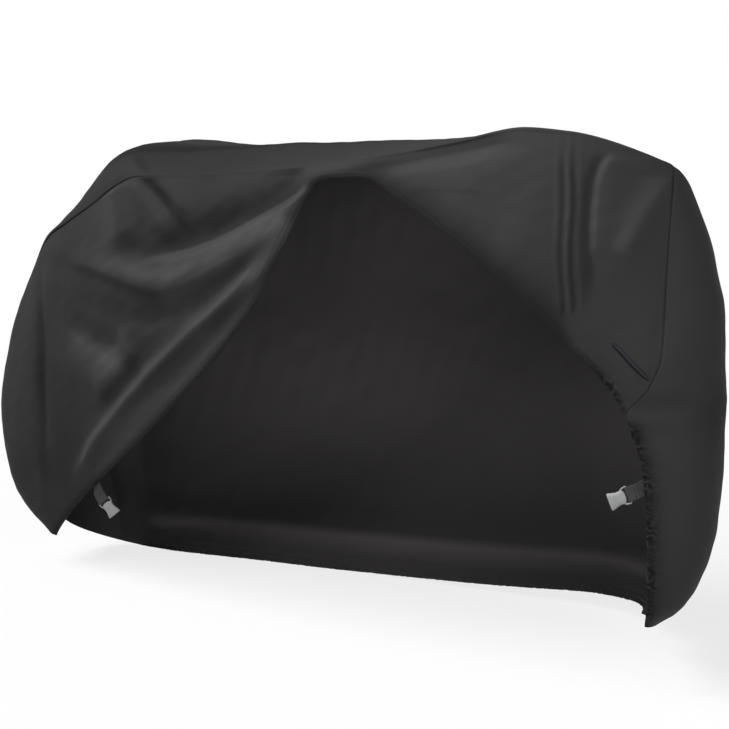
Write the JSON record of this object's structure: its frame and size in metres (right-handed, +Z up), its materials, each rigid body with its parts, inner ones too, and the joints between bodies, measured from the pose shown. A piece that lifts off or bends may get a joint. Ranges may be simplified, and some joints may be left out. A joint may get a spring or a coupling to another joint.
{
  "type": "bicycle cover",
  "caption": "Fitted cover of coated cloth for bicycles, with an elastic hem lifted to a peak on one long side, strap buckles and a bound lock slit.",
  "frame": {"origin": "centre of the overall box at its bottom, on the ground the cover hangs down to", "axes": "+X from the rear of the cover to its front, along its length; +Y from the near side, whose hem is lifted, to the far side; +Z up"},
  "size_m": [2.046, 0.8144, 1.1059],
  "materials": {
    "cover_cloth": "charcoal woven polyester with a water-proof coating, matt with a soft sheen",
    "slit_binding": "folded binding of the same cloth, a little lighter",
    "webbing": "dark woven webbing, matt",
    "buckle_plastic": "light grey moulded plastic, satin"
  },
  "bodies": {
    "root": {"near_side_panel": "cover_cloth", "far_side_panel": "cover_cloth", "gusset": "cover_cloth", "slit_welt": "slit_binding", "rear_strap": "webbing", "rear_buckle": "buckle_plastic", "front_strap": "webbing", "front_buckle": "buckle_plastic"}
  },
  "joints": []
}
